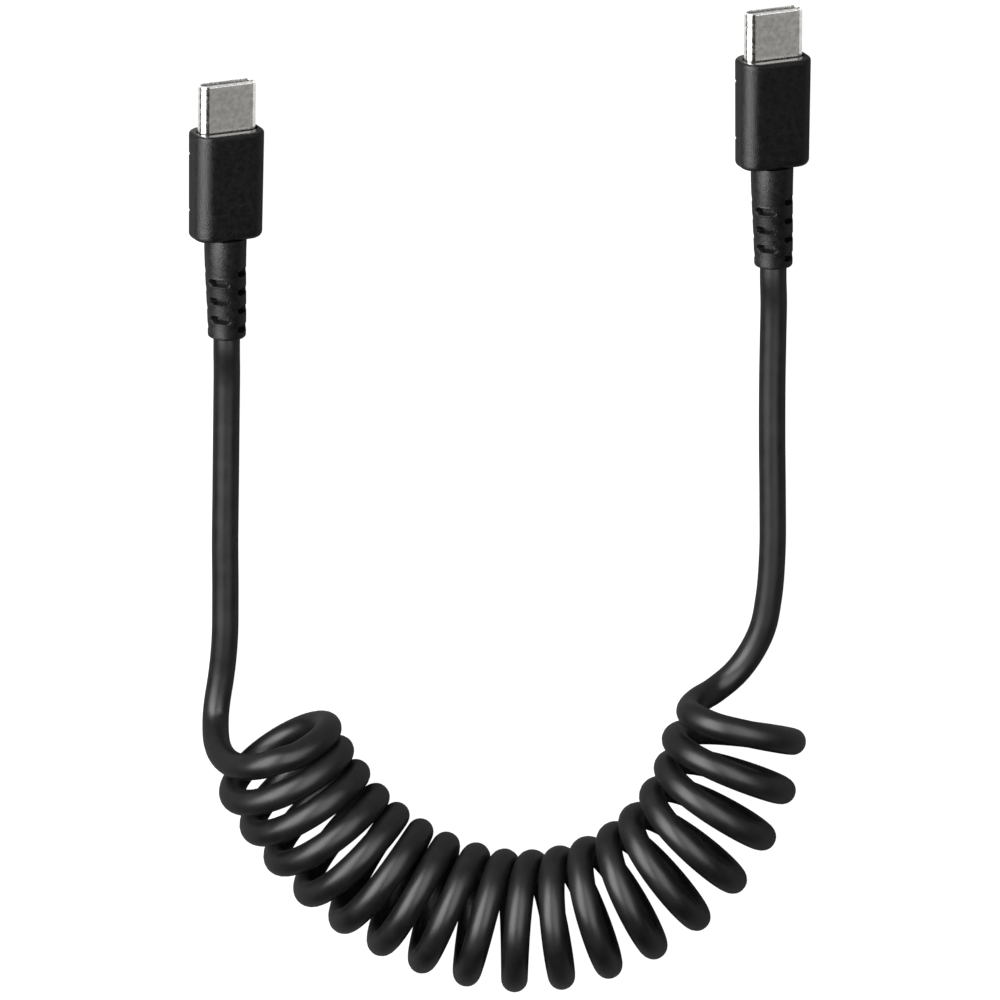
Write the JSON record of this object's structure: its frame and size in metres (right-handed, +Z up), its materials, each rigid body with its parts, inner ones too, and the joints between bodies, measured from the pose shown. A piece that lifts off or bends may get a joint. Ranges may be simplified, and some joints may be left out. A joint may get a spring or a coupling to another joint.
{
  "type": "coiled usb c cable",
  "caption": "Charging cable with a USB-C plug at each end and a curly, stretchable middle, lying in a U.",
  "frame": {"origin": "on the floor, midway between the two plugs", "axes": "+Y along plug B towards its mouth, +X from plug A to plug B, +Z up; the curly stretch lies on the -Y side"},
  "size_m": [0.0847, 0.138, 0.0193],
  "materials": {
    "shell": "satin nickel plate",
    "insulator": "matte",
    "body": "fine matte texture",
    "strain_relief": "matte",
    "cord": "satin sheath"
  },
  "bodies": {
    "root": {"plug_a_shell": "shell", "plug_a_insulator": "insulator", "plug_a_body": "body", "plug_a_strain_relief": "strain_relief", "plug_b_shell": "shell", "plug_b_insulator": "insulator", "plug_b_body": "body", "plug_b_strain_relief": "strain_relief", "leg_a": "cord", "leg_b": "cord", "curly_cord": "cord"}
  },
  "joints": []
}
